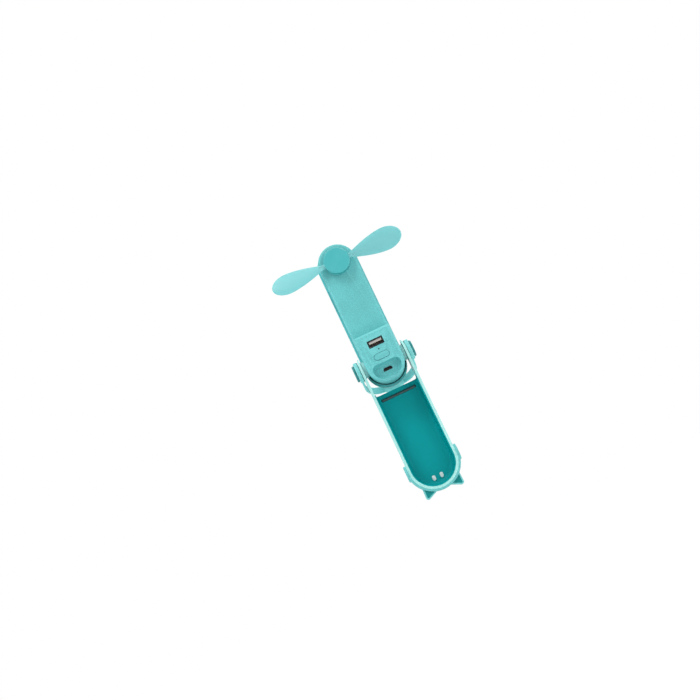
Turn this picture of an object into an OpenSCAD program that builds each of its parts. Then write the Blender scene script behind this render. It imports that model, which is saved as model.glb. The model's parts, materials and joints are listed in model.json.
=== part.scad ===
// Folding pocket fan: a pill-shaped fan body that swings out of a cupped handle,
// two soft leaf blades on a hub, a USB power block at the root and a wrist strap at the pivot.
// Frame: +Z runs along the unfolded fan towards the blades, -Y is the blade and socket side,
// the origin is the middle of the handle where the hand closes round it.

/* [Layout] */
// Height of the fold pivot above the middle of the grip
pivot_z = 70; // [60:1:90]
// Distance from the fold pivot to the motor axis
axis_reach = 93.9; // [88:0.5:115]
// How far the fan body runs past the pivot
tail_reach = 20.9; // [18.5:0.1:22]
// Half of the folded thickness, which is the pivot's depth below either face
half_d = 18; // [17:0.5:22]

/* [Front cover] */
// Width of the pill-shaped front cover
cover_w = 36.6; // [34:0.2:44]
// Depth of the front cover
cover_d = 5; // [4:0.5:7]
// Wall of the front cover's rim
cover_wall = 2.6; // [2.2:0.1:3.5]
// Thickness of the front cover's face
cover_face = 2; // [1.6:0.1:3]
// Rounding of the cover's outer edge
cover_r = 3; // [1:0.25:3.5]
// Width of the badge
badge_w = 11; // [8:0.5:14]
// Distance of the badge below the motor axis
badge_drop = 3.4; // [0:0.2:12]
// Depth of the badge's inlay
badge_t = 0.4; // [0.3:0.1:0.8]

/* [Rear housing] */
// How much narrower the rear housing is than the cover, on each side
housing_inset = 1.8; // [1.2:0.1:2.4]
// Wall of the rear housing
housing_wall = 1.8; // [1.4:0.1:2.2]
// Depth of the slim upper part, from the cover's face to the blade side
slim_d = 21; // [20:0.5:24]
// Depth of the thick socket block, from the cover's face
block_d = 31.5; // [30.5:0.5:33]
// Height of the socket block's step above the pivot
step_h = 26; // [24.5:0.5:30]
// Rounding of the step's edge
step_r = 3; // [1:0.5:4]
// Rounding of the socket block's front edge
block_r = 3.5; // [1:0.5:5]
// Rounding of the slim part's front edge
slim_r = 2.5; // [1:0.5:4]

/* [Sockets and button] */
// Height of the USB-A socket above the pivot
usb_h = 15.6; // [14:0.2:18]
// Outer width of the USB-A shell
usb_w = 13.1; // [12.8:0.1:13.4]
// Outer height of the USB-A shell
usb_t = 5.7; // [5.5:0.1:6]
// Sheet of the USB-A shell
usb_sheet = 0.35; // [0.3:0.05:0.5]
// Clearance round the USB-A shell in its window
usb_gap = 0.4; // [0.2:0.1:0.8]
// How far the USB-A shell sits below the block's face
usb_sink = 0.6; // [0.2:0.1:1.5]
// Height of the indicator above the pivot
led_h = 9.4; // [8.6:0.2:11]
// Diameter of the indicator's light pipe
led_d = 1.1; // [0.8:0.1:2]
// Height of the power button above the pivot
button_h = 3.4; // [3:0.1:5]
// Width of the power button
button_w = 13.1; // [10:0.1:14]
// Height of the power button's face
button_t = 5.1; // [4:0.1:5.4]
// Clearance round the power button
button_gap = 0.3; // [0.15:0.05:0.4]
// How far the button stands out of the face
button_proud = 0.4; // [0.2:0.1:1]
// Travel of the power button
button_travel = 0.5; // [0.3:0.1:0.8]
// Distance of the charging scoop's widest line below the pivot
scoop_drop = 6.9; // [6.7:0.1:7.2]
// Width of the charging scoop
scoop_w = 25; // [23.5:0.5:25.5]
// Radius of the scoop's upper corners
scoop_top_r = 4.5; // [3:0.1:4.8]
// Radius of the scoop's lower corners
scoop_low_r = 9; // [8:0.1:9.2]
// Depth of the charging scoop
scoop_d = 5.6; // [3:0.2:6]
// Rounding at the scoop's floor
scoop_r = 3; // [1:0.5:4]
// Wall round the scoop
scoop_wall = 1.2; // [1:0.1:1.4]
// Distance of the micro-USB socket below the pivot
micro_drop = 8; // [7.8:0.1:8.6]
// Outer width of the micro-USB shell
micro_w = 7.8; // [7.4:0.1:8.2]
// Outer height of the micro-USB shell
micro_t = 2.8; // [2.5:0.1:3.1]
// Clearance round the micro-USB shell
micro_gap = 0.1; // [0.05:0.05:0.3]

/* [Handle] */
// Gap between the folded cover's outline and the handle's walls
side_gap = 1.1; // [0.8:0.1:2]
// Wall of the handle shell
handle_wall = 2.1; // [1.8:0.1:3]
// Thickness of the handle shell's floor
handle_floor = 1.8; // [1.5:0.1:2.5]
// Thickness of the liner over the floor
liner_floor = 1.2; // [0.8:0.1:1.5]
// Thickness of the liner along the walls
liner_wall = 0.8; // [0.6:0.1:1]
// How far the walls' rim stands in front of the pivot's plane
rim_y = 3; // [1:0.5:5]
// How far the liner stops below the rim
liner_drop = 1; // [0.5:0.1:3]
// Distance from the pivot down to the edge of the handle's floor
floor_edge = 23.2; // [22.8:0.1:25]
// Rounding of the handle's back edge
back_r = 7; // [5:0.5:9]
// Radius of the arm's round end at the pivot
arm_r = 10.5; // [9:0.5:12]
// Distance below the pivot where the rim starts to rise to the arm
arm_rise = 34; // [28:1:45]
// Distance of the stop bar below the floor's edge
bar_drop = 5; // [4.6:0.2:10]
// Radius of the stop bar
bar_r = 1.4; // [1:0.1:1.6]
// Length of the stop bar
bar_len = 33; // [20:1:33]
// Distance of the white bumpers from the pivot
bumper_reach = 105.4; // [95:0.2:108]
// Spacing of the bumpers
bumper_gap = 7; // [5:0.5:12]
// Width of each bumper
bumper_w = 3.1; // [2.5:0.1:4]
// Length of each bumper
bumper_len = 4.7; // [4.2:0.1:6]
// Height of each bumper
bumper_t = 0.8; // [0.5:0.1:1.5]

/* [Ear band] */
// Thickness of the band round the handle's end
band_t = 1.9; // [1.2:0.1:3]
// Width of the band
band_w = 12; // [8:0.5:14]
// Diameter of the round side pads
pad_d = 14; // [12:0.5:18]
// Thickness of the side pads
pad_t = 2.3; // [2:0.1:4]
// Angle of each ear from the handle's axis
ear_angle = 31; // [24:1:40]
// Height of the ears above the band
ear_h = 7; // [5:0.5:10]
// Width of each ear at its root
ear_w = 12; // [9:0.5:14]
// Thickness of the ears
ear_t = 8; // [5:0.5:10]
// Width of the pale rim round each ear's inlay
ear_rim = 1.2; // [0.8:0.1:2]

/* [Pivot] */
// Radius of the pivot pins
pin_r = 3; // [2.5:0.1:3.5]
// Running clearance on the pivot pins
pin_clear = 0.05; // [0.03:0.01:0.09]
// Radius of the friction washers
washer_r = 7; // [5:0.5:8]
// End clearance beside each washer
washer_gap = 0.1; // [0.05:0.05:0.2]
// Radius of the outer caps
cap_r = 7.25; // [6:0.25:9]
// Thickness of the outer caps
cap_t = 1.65; // [1.2:0.05:2.5]
// Clearance on either side of the strap's eyelets
eyelet_gap = 0.3; // [0.2:0.05:0.5]

/* [Strap] */
// Radius of the strap's eyelets
eyelet_r = 9; // [8:0.5:11]
// Thickness of the strap's eyelets
eyelet_t = 3.4; // [3:0.1:5]
// Distance from the pivot to the far run of the strap
strap_reach = 38.7; // [36:0.5:48]
// Corner radius of the strap's loop, on its middle line
strap_corner = 16.4; // [14:0.2:17]
// Thickness of the strap
strap_t = 2; // [1.5:0.1:2.4]
// Width of the strap
strap_w = 8.5; // [6:0.5:10]
// Length of the bead
bead_len = 18.9; // [16:0.5:24]
// Radius of the bead
bead_r = 5.3; // [5:0.1:6]
// Angle of the resting strap behind the handle
strap_rest = 64; // [40:1:75]

/* [Motor and cell] */
// Radius of the motor can
motor_r = 12; // [10:0.5:13]
// Length of the motor can
motor_len = 14; // [12:0.5:15]
// Wall of the motor can
motor_wall = 1; // [0.8:0.1:1.5]
// Radius of the motor shaft
shaft_r = 1; // [0.8:0.1:1.5]
// Running clearance on the shaft
shaft_clear = 0.05; // [0.02:0.01:0.08]
// Width of the battery cell
cell_w = 26; // [20:1:27]
// Length of the battery cell
cell_len = 48; // [40:1:50]
// Thickness of the battery cell
cell_t = 9; // [6:0.5:12]

/* [Blades] */
// Radius swept by the blade tips
tip_r = 60; // [50:1:64]
// Distance of each blade's hinge pin from the motor axis
blade_pin_off = 7; // [6.5:0.1:8]
// Radius of the blade hinge pins
blade_pin_r = 1.5; // [1.2:0.1:2]
// Radius of the ring at the blade's root
root_r = 4; // [3.5:0.1:4.5]
// Thickness of the blade's root
root_t = 4; // [3:0.25:4.5]
// Widest chord of a blade
chord = 20; // [16:0.5:21]
// Thickness of a blade
blade_t = 1.1; // [0.9:0.1:1.5]
// Blade pitch at the root
pitch_root = 23; // [15:1:26]
// Blade pitch at the tip
pitch_tip = 17; // [10:1:20]
// Gap between the hub and the fan body
hub_gap = 0.6; // [0.4:0.1:1]
// Thickness of each hub plate
hub_plate = 1.6; // [1.2:0.1:2]

/* [Hidden] */
$fn = 96;

cover_hw = cover_w / 2;
tail_z = pivot_z - tail_reach;
axis_z = pivot_z + axis_reach;
housing_hw = cover_hw - housing_inset;
cavity_hw = housing_hw - housing_wall;
joint_y = half_d - cover_d;
slim_y = half_d - slim_d;
block_y = half_d - block_d;
inner_slim_y = slim_y + housing_wall;
inner_block_y = block_y + housing_wall;
housing_end = tail_z + housing_inset;
handle_in = cover_hw + side_gap;
handle_hw = handle_in + handle_wall;
nest_z = pivot_z - axis_reach;
handle_end = nest_z - handle_hw;
liner_in = handle_in - liner_wall;
liner_y = half_d - handle_floor - liner_floor;
edge_z = pivot_z - floor_edge;
eyelet_x = handle_hw + eyelet_gap;
cap_x = eyelet_x + eyelet_t + eyelet_gap;
pin_in = cavity_hw - 3;
band_mid_y = band_w / 2 - rim_y;
leg_x = eyelet_x + eyelet_t / 2 - 0.1;
board_y = inner_block_y + 12.5;
board_t = 1.2;
board_hw = pin_in - 0.9;
board_top = pivot_z + step_h - 2;
board_end = pivot_z - 11.4;
scoop_floor_y = block_y + scoop_d;
micro_back_y = scoop_floor_y + 5.6;
motor_y = inner_slim_y;
hub_back_y = slim_y - hub_gap;
root_y = hub_back_y - hub_plate - 0.1;
cap_back_y = root_y - root_t - 0.1;
blade_y = root_y - root_t / 2;
hub_r = blade_pin_off + root_r + 0.2;
tact_y = board_y - 4.9;
led_len = 1;

function tangent_at(p, r, side) =
    let (d = norm(p), base = atan2(p[1], p[0]), off = acos(r / d))
    [r * cos(base + side * off), r * sin(base + side * off)];

// corner waste for rounding an edge: a square with the quarter circle kept out
module corner_waste(r, s) {
    difference() {
        translate([0, s > 0 ? 0 : -r - 1]) square([r + 1, r + 1]);
        circle(r);
    }
}

// half section of a pill: from the middle line out to hw, rounded at y0 and y1
module half_section(hw, y0, y1, r0, r1) {
    difference() {
        translate([0, y0]) square([hw, y1 - y0]);
        if (r0 > 0) translate([hw - r0, y0 + r0]) corner_waste(r0, -1);
        if (r1 > 0) translate([hw - r1, y1 - r1]) corner_waste(r1, 1);
    }
}

// long round-ended solid along Z with rounded front (y0) and back (y1) edges
module pill(hw, z0, z1, y0, y1, r0 = 0, r1 = 0, top = true, bottom = true) {
    zb = bottom ? z0 + hw : z0;
    zt = top ? z1 - hw : z1;
    translate([0, 0, zb]) linear_extrude(zt - zb) {
        half_section(hw, y0, y1, r0, r1);
        mirror([1, 0]) half_section(hw, y0, y1, r0, r1);
    }
    if (bottom) {
        translate([0, 0, zb]) rotate([-90, 0, 0]) rotate_extrude(angle = 180)
            half_section(hw, y0, y1, r0, r1);
    }
    if (top) {
        translate([0, 0, zt]) rotate([-90, 0, 0]) rotate([0, 0, 180]) rotate_extrude(angle = 180)
            half_section(hw, y0, y1, r0, r1);
    }
}

// flat outline with round ends, w across X and t along Z, extruded from y0 to y1
module stadium(w, t, y0, y1) {
    translate([0, y1, 0]) rotate([90, 0, 0]) linear_extrude(y1 - y0) {
        square([w - t, t], center = true);
        translate([(w - t) / 2, 0]) circle(t / 2);
        translate([-(w - t) / 2, 0]) circle(t / 2);
    }
}

module box(x0, x1, y0, y1, z0, z1) {
    translate([x0, y0, z0]) cube([x1 - x0, y1 - y0, z1 - z0]);
}

// cylinder along +X from x0 to x1
module rod_x(r, x0, x1) {
    translate([x0, 0, 0]) rotate([0, 90, 0]) cylinder(h = x1 - x0, r = r);
}

// cylinder along +Y from y0 to y1
module rod_y(r, y0, y1) {
    translate([0, y0, 0]) rotate([-90, 0, 0]) cylinder(h = y1 - y0, r = r);
}

// disc along X with rounded rims, from x0 to x1
module soft_disc(r, x0, x1, e0, e1) {
    rotate([0, 90, 0]) rotate_extrude() half_section(r, x0, x1, e0, e1);
}

// ---------- handle ----------
module side_outline() {
    p_front = [-rim_y, -arm_rise];
    p_back = [half_d + 1, -floor_edge];
    rotate([90, 0, 90]) translate([0, 0, -handle_hw - 2]) linear_extrude(2 * handle_hw + 4)
        translate([0, pivot_z]) polygon([
            [-rim_y, -pivot_z + handle_end - 2], p_front, tangent_at(p_front, arm_r - 0.05, -1),
            tangent_at(p_back, arm_r - 0.05, 1), p_back,
            [half_d + 1, -pivot_z + handle_end - 2]
        ]);
    translate([0, 0, pivot_z]) rod_x(arm_r, -handle_hw - 2, handle_hw + 2);
}

module handle_shell() {
    color([0.66, 0.94, 0.92]) difference() {
        intersection() {
            pill(handle_hw, handle_end, tail_z + cover_w + side_gap + handle_wall
                + 2 * tail_reach - cover_w, -half_d, half_d, 0, back_r);
            side_outline();
        }
        pill(handle_in, handle_end + handle_wall, pivot_z + 2 * arm_r, -half_d - 1,
            half_d - handle_floor, 0, back_r - 2, top = false);
        box(-handle_in, handle_in, -half_d - 1, half_d + 1, edge_z, pivot_z + 2 * arm_r);
        translate([0, 0, pivot_z]) rod_x(pin_r, -handle_hw - 1, handle_hw + 1);
    }
}

module handle_liner() {
    color([0.06, 0.6, 0.62]) difference() {
        pill(handle_in, handle_end + handle_wall, edge_z, -rim_y + liner_drop,
            half_d - handle_floor, 0, back_r - 2, top = false);
        pill(liner_in, handle_end + handle_wall + liner_wall, edge_z + 1, -half_d,
            liner_y, 0, back_r - 2.6, top = false);
        stop_bar_solid();
    }
}

module stop_bar_solid() {
    translate([0, liner_y + 0.3, edge_z - bar_drop]) {
        rod_x(bar_r, -bar_len / 2 + bar_r, bar_len / 2 - bar_r);
        translate([-bar_len / 2 + bar_r, 0, 0]) sphere(bar_r);
        translate([bar_len / 2 - bar_r, 0, 0]) sphere(bar_r);
    }
}

module stop_bar() {
    color([0.1, 0.38, 0.4]) difference() {
        stop_bar_solid();
        box(-bar_len, bar_len, liner_y + 0.7, liner_y + 5, edge_z - bar_drop - 5, edge_z);
    }
}

module bumper_pads() {
    color("white") for (s = [-1, 1]) {
        translate([s * bumper_gap / 2, 0, pivot_z - bumper_reach]) {
            rotate([0, 90, 0]) stadium(bumper_len, bumper_w, liner_y - bumper_t, liner_y);
        }
    }
}

module ear_outline(inset) {
    offset(delta = -inset) hull() {
        translate([-ear_w / 2 + 0.6, handle_hw + 0.9]) circle(0.6, $fn = 24);
        translate([ear_w / 2 - 0.6, handle_hw + 0.9]) circle(0.6, $fn = 24);
        translate([-0.5, handle_hw + band_t + ear_h - 2.1]) circle(2.1, $fn = 32);
    }
}

// one ear, drawn with its axis along -Z from the nest centre
module ear_solid(inset, y0, y1) {
    translate([0, y0, 0]) rotate([-90, 0, 0]) linear_extrude(y1 - y0) ear_outline(inset);
}

module at_ears() {
    for (s = [0, 1]) {
        translate([0, 0, nest_z]) mirror([s, 0, 0]) rotate([0, ear_angle, 0]) children();
    }
}

module ear_band() {
    y0 = -rim_y;
    color([0.5, 0.86, 0.86]) difference() {
        union() {
            translate([0, 0, nest_z]) rotate([-90, 0, 0]) rotate_extrude(angle = 180)
                difference() {
                    half_section(handle_hw + band_t, y0, y0 + band_w, 0.8, 0.8);
                    translate([0, y0 - 1]) square([handle_hw, band_w + 2]);
                }
            for (s = [0, 1]) {
                mirror([s, 0, 0]) translate([0, band_mid_y, nest_z])
                    soft_disc(pad_d / 2, handle_hw, handle_hw + pad_t, 0, 0.9);
            }
            at_ears() ear_solid(0, band_mid_y - ear_t / 2, band_mid_y + ear_t / 2);
        }
        translate([0, 0, nest_z]) rod_y(handle_hw, -half_d, half_d);
        at_ears() ear_solid(ear_rim, band_mid_y - ear_t / 2 - 1, band_mid_y - ear_t / 2 + 0.6);
    }
}

module ear_inserts() {
    color([0.0, 0.55, 0.56]) difference() {
        at_ears() ear_solid(ear_rim, band_mid_y - ear_t / 2, band_mid_y - ear_t / 2 + 0.6);
        translate([0, 0, nest_z]) rod_y(handle_hw, -half_d, half_d);
        translate([0, 0, nest_z]) rod_y(handle_hw + band_t, -half_d, half_d);
    }
}

module pivot_pin() {
    translate([0, 0, pivot_z]) rod_x(pin_r, pin_in + 0.2, cap_x);
}

module pivot_cap() {
    translate([0, 0, pivot_z]) difference() {
        soft_disc(cap_r, cap_x, cap_x + cap_t, 0.3, 0.9);
        translate([cap_x + cap_t + 9.4, 0, 0]) sphere(10);
    }
}

module pivot_pin_l() { color([0.75, 0.77, 0.78]) mirror([1, 0, 0]) pivot_pin(); }
module pivot_pin_r() { color([0.75, 0.77, 0.78]) pivot_pin(); }
module pivot_cap_l() { color([0.35, 0.75, 0.75]) mirror([1, 0, 0]) pivot_cap(); }
module pivot_cap_r() { color([0.35, 0.75, 0.75]) pivot_cap(); }

// ---------- strap ----------
module strap_place() {
    translate([0, 0, pivot_z]) rotate([strap_rest, 0, 0]) children();
}

module strap_band() {
    leg_end = strap_reach - strap_corner;
    for (s = [0, 1]) {
        mirror([s, 0, 0]) {
            box(leg_x - strap_t / 2, leg_x + strap_t / 2, -strap_w / 2, strap_w / 2,
                -leg_end, -pin_r - 1.5);
            translate([leg_x - strap_corner, 0, -leg_end]) rotate([-90, 0, 0])
                rotate_extrude(angle = 90)
                    translate([strap_corner - strap_t / 2, -strap_w / 2])
                        square([strap_t, strap_w]);
        }
    }
    box(-leg_x + strap_corner, leg_x - strap_corner, -strap_w / 2, strap_w / 2,
        -strap_reach - strap_t / 2, -strap_reach + strap_t / 2);
}

module strap_loop() {
    color([0.45, 0.8, 0.8]) strap_place() difference() {
        union() {
            strap_band();
            for (s = [0, 1]) {
                mirror([s, 0, 0]) soft_disc(eyelet_r, eyelet_x, eyelet_x + eyelet_t, 0.6, 0.6);
            }
        }
        rod_x(pin_r + pin_clear, -handle_hw - 10, handle_hw + 10);
    }
}

module strap_bead() {
    half = bead_len / 2;
    color([0.5, 0.83, 0.83]) strap_place() difference() {
        translate([0, 0, -strap_reach]) rotate([0, 90, 0]) rotate_extrude() {
            difference() {
                translate([0, -half]) square([bead_r, bead_len]);
                translate([bead_r - 2, half - 5]) polygon([[0, 6], [3, 6], [3, 0], [2, 0], [-0.6, 5]]);
                translate([bead_r - 2, -half + 5])
                    polygon([[0, -6], [3, -6], [3, 0], [2, 0], [-0.6, -5]]);
            }
        }
        strap_band();
    }
}

// ---------- fan body ----------
module badge_bars(y0, y1) {
    bar = badge_w * 0.17;
    translate([0, 0, axis_z - badge_drop]) {
        translate([badge_w * 0.09, 0, badge_w * 0.32]) stadium(badge_w * 0.72, bar, y0, y1);
        stadium(badge_w, bar, y0, y1);
        translate([-badge_w * 0.12, 0, -badge_w * 0.32]) stadium(badge_w * 0.6, bar, y0, y1);
    }
}

module front_cover() {
    color([0.45, 0.81, 0.82]) {
        difference() {
            pill(cover_hw, tail_z, axis_z + cover_hw, joint_y, half_d, 0.5, cover_r);
            pill(cover_hw - cover_wall, tail_z + cover_wall, axis_z + cover_hw - cover_wall,
                joint_y - 1, half_d - cover_face, 0, 1);
            badge_bars(half_d - badge_t, half_d + 1);
        }
        for (x = [-1, 1], z = [board_end + 3, board_top - 3]) {
            translate([x * (board_hw - 2.6), 0, z]) rod_y(2, board_y + board_t, half_d - cover_face);
        }
    }
}

module badge() {
    color("white") badge_bars(half_d - badge_t, half_d);
}

module housing_outer() {
    difference() {
        pill(housing_hw, housing_end, pivot_z + step_h, block_y, joint_y, block_r, 0, top = false);
        translate([0, block_y + step_r, pivot_z + step_h - step_r]) rotate([90, 0, 90])
            translate([0, 0, -cover_w]) linear_extrude(2 * cover_w)
                mirror([1, 0]) corner_waste(step_r, 1);
    }
    pill(housing_hw, pivot_z + step_h, axis_z + housing_hw, slim_y, joint_y, slim_r, 0,
        bottom = false);
}

// one half of a pill along Z, on the +X side, or on the -X side when side is 1
module half_pill(hw, half, y0, y1, r1, side) {
    h = half - hw;
    translate([0, 0, -h]) linear_extrude(2 * h) mirror([side, 0]) half_section(hw, y0, y1, 0, r1);
    translate([0, 0, -h]) rotate([-90, 0, 0]) rotate([0, 0, side * 90])
        rotate_extrude(angle = 90) half_section(hw, y0, y1, 0, r1);
    translate([0, 0, h]) rotate([-90, 0, 0]) rotate([0, 0, 270 - side * 90])
        rotate_extrude(angle = 90) half_section(hw, y0, y1, 0, r1);
}

// the scoop has a flat upper edge with tight corners and a rounder lower edge
module scoop(grow, y0) {
    half = scoop_w / 2 + grow;
    translate([0, 0, pivot_z - scoop_drop]) rotate([0, 90, 0]) {
        half_pill(scoop_low_r + grow, half, y0, scoop_floor_y + grow, scoop_r + grow, 0);
        half_pill(scoop_top_r + grow, half, y0, scoop_floor_y + grow, scoop_r + grow, 1);
    }
}

module micro_outline(grow) {
    w = micro_w / 2 + grow;
    t = micro_t / 2 + grow;
    polygon([[-w, t], [w, t], [w, -t * 0.2], [w - 1.1, -t], [-w + 1.1, -t], [-w, -t * 0.2]]);
}

module micro_prism(grow, y0, y1) {
    translate([0, y1, pivot_z - micro_drop]) rotate([90, 0, 0]) mirror([0, 1])
        linear_extrude(y1 - y0) micro_outline(grow);
}

module rear_housing() {
    color([0.6, 0.88, 0.87]) difference() {
        union() {
            difference() {
                housing_outer();
                pill(cavity_hw, housing_end + housing_wall, pivot_z + step_h - housing_wall,
                    inner_block_y, joint_y + 1, 2, 0, top = false);
                pill(cavity_hw, pivot_z + step_h - housing_wall - 4, axis_z + cavity_hw,
                    inner_slim_y, joint_y + 1, 1, 0, bottom = false);
            }
            scoop(scoop_wall, block_y + 1);
            for (s = [0, 1]) {
                mirror([s, 0, 0]) translate([0, 0, pivot_z]) rod_x(6, pin_in, housing_hw - 0.5);
            }
        }
        scoop(0, block_y - 1);
        box(-usb_w / 2 - usb_gap, usb_w / 2 + usb_gap, block_y - 1, inner_block_y + 1,
            pivot_z + usb_h - usb_t / 2 - usb_gap, pivot_z + usb_h + usb_t / 2 + usb_gap);
        translate([0, 0, pivot_z + button_h])
            stadium(button_w + 2 * button_gap, button_t + 2 * button_gap, block_y - 1,
                inner_block_y + 1);
        translate([0, 0, pivot_z + led_h]) rod_y(led_d / 2, block_y - 1, inner_block_y + 1);
        micro_prism(micro_gap, scoop_floor_y - 1, scoop_floor_y + scoop_wall + 1);
        translate([0, 0, axis_z]) rod_y(3 + 0.2, slim_y - 1, inner_slim_y + 1);
        translate([0, 0, pivot_z]) rod_x(pin_r + pin_clear, -housing_hw - 1, housing_hw + 1);
    }
}

module battery_cell() {
    color([0.3, 0.45, 0.75]) {
        z0 = board_top + 3.5;
        difference() {
            box(-cell_w / 2, cell_w / 2, inner_slim_y, inner_slim_y + cell_t, z0, z0 + cell_len);
            for (x = [-1, 1]) {
                translate([x * (cell_w / 2 - 1.5), inner_slim_y + cell_t - 1.5, z0 - 1])
                    linear_extrude(cell_len + 2) mirror([x > 0 ? 0 : 1, 0]) corner_waste(1.5, 1);
            }
        }
    }
}

module motor_can() {
    color([0.7, 0.72, 0.74]) translate([0, 0, axis_z]) difference() {
        union() {
            rod_y(motor_r, motor_y, motor_y + motor_len);
            rod_y(3, slim_y, motor_y + 1);
        }
        rod_y(motor_r - motor_wall, motor_y + motor_wall, motor_y + motor_len + 1);
        rod_y(2.2, slim_y - 1, motor_y + motor_len);
    }
}

module motor_endcap() {
    color([0.15, 0.15, 0.16]) translate([0, 0, axis_z]) difference() {
        rod_y(motor_r - motor_wall, motor_y + motor_len - 1.4, motor_y + motor_len);
        rod_y(2.2, motor_y, motor_y + motor_len + 1);
    }
}

module motor_magnets() {
    color([0.2, 0.2, 0.22]) translate([0, 0, axis_z]) {
        for (a = [0, 180]) {
            rotate([0, a, 0]) rotate([-90, 0, 0]) rotate([0, 0, 25]) rotate_extrude(angle = 130)
                translate([motor_r - motor_wall - 1.8, motor_y + motor_wall + 0.6])
                    square([1.8, motor_len - 5]);
        }
    }
}

module motor_bushings() {
    color([0.8, 0.65, 0.3]) translate([0, 0, axis_z]) difference() {
        union() {
            rod_y(2.2, slim_y, motor_y + motor_wall);
            rod_y(2.2, motor_y + motor_len - 1.4, motor_y + motor_len);
        }
        rod_y(shaft_r + shaft_clear, slim_y - 1, motor_y + motor_len + 1);
    }
}

module circuit_board() {
    color([0.1, 0.45, 0.25]) box(-board_hw, board_hw, board_y, board_y + board_t, board_end, board_top);
}

module charge_board() {
    color([0.1, 0.45, 0.25]) box(-7, 7, micro_back_y, micro_back_y + 1,
        pivot_z - micro_drop - 5, pivot_z - micro_drop + 5);
}

module board_header() {
    color([0.12, 0.12, 0.13]) box(-5, 5, micro_back_y + 1, board_y,
        pivot_z - micro_drop - 1.3, pivot_z - micro_drop + 1.3);
}

module usb_a_shell() {
    y0 = block_y + usb_sink;
    w = usb_w / 2;
    t = usb_t / 2;
    color([0.82, 0.83, 0.84]) translate([0, 0, pivot_z + usb_h]) difference() {
        box(-w, w, y0, board_y, -t, t);
        box(-w + usb_sheet, w - usb_sheet, y0 - 1, board_y - 1, -t + usb_sheet, t - usb_sheet);
    }
}

module usb_a_tongue() {
    y0 = block_y + usb_sink + 0.8;
    t = usb_t / 2 - usb_sheet;
    color([0.08, 0.08, 0.09]) translate([0, 0, pivot_z + usb_h]) {
        box(-5.6, 5.6, y0, board_y - 2.5, t - 2.3, t - 0.4);
        box(-usb_w / 2 + usb_sheet, usb_w / 2 - usb_sheet, board_y - 2.5, board_y - 1, -t, t);
    }
}

module micro_usb_shell() {
    color([0.82, 0.83, 0.84]) difference() {
        micro_prism(0, scoop_floor_y + 0.2, micro_back_y);
        micro_prism(-0.3, scoop_floor_y - 1, micro_back_y - 0.6);
    }
}

module micro_usb_tongue() {
    color([0.08, 0.08, 0.09]) translate([0, 0, pivot_z - micro_drop])
        box(-1.9, 1.9, scoop_floor_y + 0.9, micro_back_y - 0.6, -0.45, 0.15);
}

module tact_switch() {
    color([0.15, 0.15, 0.16]) translate([0, 0, pivot_z + button_h]) {
        box(-3, 3, board_y - 3.5, board_y, -3, 3);
        rod_y(1.7, tact_y, board_y - 3.4);
    }
}

module status_led() {
    color([0.95, 0.95, 0.8]) box(-0.9, 0.9, board_y - led_len, board_y,
        pivot_z + led_h - 0.6, pivot_z + led_h + 0.6);
}

module light_pipe() {
    color([0.85, 0.95, 1.0]) translate([0, 0, pivot_z + led_h])
        rod_y(led_d / 2, block_y, board_y - led_len);
}

module pivot_washer() {
    translate([0, 0, pivot_z]) difference() {
        rod_x(washer_r, housing_hw, handle_in - washer_gap);
        rod_x(pin_r + pin_clear, 0, handle_in + 1);
    }
}

module pivot_washer_l() { color([0.3, 0.65, 0.66]) mirror([1, 0, 0]) pivot_washer(); }
module pivot_washer_r() { color([0.3, 0.65, 0.66]) pivot_washer(); }

module power_button() {
    color([0.62, 0.9, 0.89]) translate([0, 0, pivot_z + button_h]) {
        stadium(button_w, button_t, block_y - button_proud, inner_block_y + 0.3);
        stadium(button_w + 3, button_t - 0.3, inner_block_y + 0.3, inner_block_y + 1.1);
        rod_y(1.5, inner_block_y + 1.1, tact_y - button_travel - 0.1);
    }
}

// ---------- rotor ----------
module motor_shaft() {
    color([0.8, 0.81, 0.82]) translate([0, 0, axis_z])
        rod_y(shaft_r, cap_back_y - 0.6, motor_y + motor_len - 0.4);
}

module armature() {
    r = motor_r - motor_wall - 1.8 - 0.4;
    color([0.72, 0.4, 0.2]) translate([0, 0, axis_z]) difference() {
        union() {
            rod_y(r, motor_y + 3, motor_y + motor_len - 4.6);
            rod_y(2.8, motor_y + 1.6, motor_y + motor_len - 2);
        }
        rod_y(shaft_r, 0 - half_d, half_d);
        for (a = [0, 120, 240]) {
            rotate([0, a + 30, 0]) box(-0.9, 0.9, motor_y + 2, motor_y + motor_len - 4, r - 5.4, r + 1);
        }
    }
}

module hub_base() {
    color([0.42, 0.79, 0.8]) translate([0, 0, axis_z]) difference() {
        union() {
            rod_y(hub_r, hub_back_y - hub_plate, hub_back_y);
            rod_y(2.4, cap_back_y, hub_back_y);
        }
        rod_y(shaft_r, -half_d, 0);
        for (s = [-1, 1]) {
            translate([s * blade_pin_off, 0, 0]) rod_y(blade_pin_r, -half_d, 0);
        }
    }
}

module hub_cap() {
    color([0.42, 0.79, 0.8]) translate([0, 0, axis_z]) difference() {
        rotate([-90, 0, 0]) rotate_extrude()
            half_section(hub_r, cap_back_y - hub_plate, cap_back_y, 0.9, 0);
        rod_y(shaft_r, cap_back_y - 0.6, cap_back_y + 1);
        for (s = [-1, 1]) {
            translate([s * blade_pin_off, 0, 0]) rod_y(blade_pin_r, cap_back_y - 0.8, cap_back_y + 1);
        }
    }
}

module blade_pins() {
    color([0.75, 0.77, 0.78]) for (s = [-1, 1]) {
        translate([s * blade_pin_off, 0, axis_z]) rod_y(blade_pin_r, cap_back_y - 0.8, hub_back_y);
    }
}

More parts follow.
